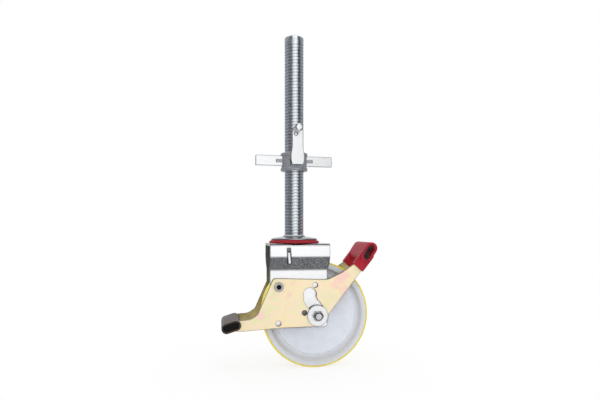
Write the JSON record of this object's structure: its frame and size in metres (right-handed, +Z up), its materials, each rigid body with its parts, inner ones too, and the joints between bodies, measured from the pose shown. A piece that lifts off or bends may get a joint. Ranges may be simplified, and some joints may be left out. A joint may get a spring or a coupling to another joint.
{
  "type": "scaffold castor",
  "caption": "Swivel scaffold castor with a threaded spindle, winged height nut and latch, bent sheet fork, two-pedal load-centring brake and a polyamide wheel with yellow tread.",
  "frame": {"origin": "on the spindle's axis, in the middle of its plain lead-in end", "axes": "+Z up along the spindle; +X towards the trailing side, where the wheel's axle lies when free; Y along the axle"},
  "size_m": [0.2971, 0.1087, 0.6439],
  "materials": {
    "spindle_zinc": "bright zinc plated thread",
    "fork_zinc": "bright zinc plated sheet",
    "bright_steel": "bright steel",
    "yellow_zinc": "yellow passivated zinc",
    "pedal_red": "moulded, satin",
    "pedal_black": "moulded, satin",
    "seal_red": "moulded",
    "polyamide": "moulded, satin",
    "tread_yellow": "cast polyurethane",
    "nut_grey": "cast, dull zinc"
  },
  "bodies": {
    "spindle_body": {"spindle": "spindle_zinc", "stop_pin": "bright_steel", "head_plate": "fork_zinc", "spindle_weld": "spindle_zinc", "dust_seal": "seal_red", "upper_race": "bright_steel", "kingpin": "bright_steel", "thrust_washer": "bright_steel", "kingpin_nut": "bright_steel"},
    "fork_body": {"fork": "fork_zinc", "lower_race": "bright_steel", "swivel_balls": "bright_steel", "pivot_screws": "bright_steel", "shoe_springs": "bright_steel"},
    "shoe_body": {"lock_shoe": "fork_zinc"},
    "lever_body": {"brake_plate_near": "yellow_zinc", "brake_plate_far": "yellow_zinc", "red_pedal": "pedal_red", "black_pedal": "pedal_black"},
    "axle_body": {"axle_bolt": "bright_steel", "axle_washers": "fork_zinc", "axle_nut": "bright_steel", "bearing_spacer": "bright_steel"},
    "wheel_body": {"wheel_bearings": "bright_steel", "wheel_centre": "polyamide", "tread": "tread_yellow"},
    "nut_body": {"adjusting_nut": "nut_grey", "nut_wings": "fork_zinc"},
    "latch_body": {"latch_plate": "fork_zinc", "latch_hinge_pin": "bright_steel", "plunger_bush": "bright_steel", "latch_rivet": "fork_zinc", "plunger_spring": "bright_steel"},
    "plunger_body": {"locking_plunger": "bright_steel"}
  },
  "joints": [
    {"name": "swivel", "type": "hinge", "parent": "spindle_body", "child": "fork_body", "pos_m": [0, 0, -0.39575], "axis": [0, 0, 1], "continuous": true},
    {"name": "brake_lever", "type": "hinge", "parent": "fork_body", "child": "lever_body", "pos_m": [-0.035, 0, -0.47725], "axis": [0, 1, 0], "range_deg": [0, 39.5]},
    {"name": "axle_shift", "type": "slide", "parent": "fork_body", "child": "axle_body", "axis": [-0.9874, 0, 0.158], "range_m": [0, 0.038]},
    {"name": "shoe_lift", "type": "slide", "parent": "fork_body", "child": "shoe_body", "axis": [0, 0, 1], "range_m": [0, 0.0071], "deforming": ["shoe_springs"]},
    {"name": "wheel_spin", "type": "hinge", "parent": "axle_body", "child": "wheel_body", "pos_m": [0.039, 0, -0.53275], "axis": [0, 1, 0], "continuous": true},
    {"name": "nut_travel", "type": "slide", "parent": "spindle_body", "child": "nut_body", "axis": [0, 0, 1], "range_m": [-0.12, 0.087]},
    {"name": "latch_swing", "type": "hinge", "parent": "nut_body", "child": "latch_body", "pos_m": [0.00209, -0.02391, -0.24125], "axis": [0.9962, 0.0872, 0], "range_deg": [0, 75]},
    {"name": "plunger_pull", "type": "slide", "parent": "latch_body", "child": "plunger_body", "axis": [0.0872, -0.9962, 0], "range_m": [0, 0.004], "stiffness_N_per_m": 500, "springref_m": -0.003, "deforming": ["plunger_spring"]}
  ],
  "couplings": [
    {"joint": "axle_shift", "follows": "brake_lever", "m_per_rad": 0.055087},
    {"joint": "shoe_lift", "follows": "brake_lever", "m_per_rad": 0.010154}
  ]
}
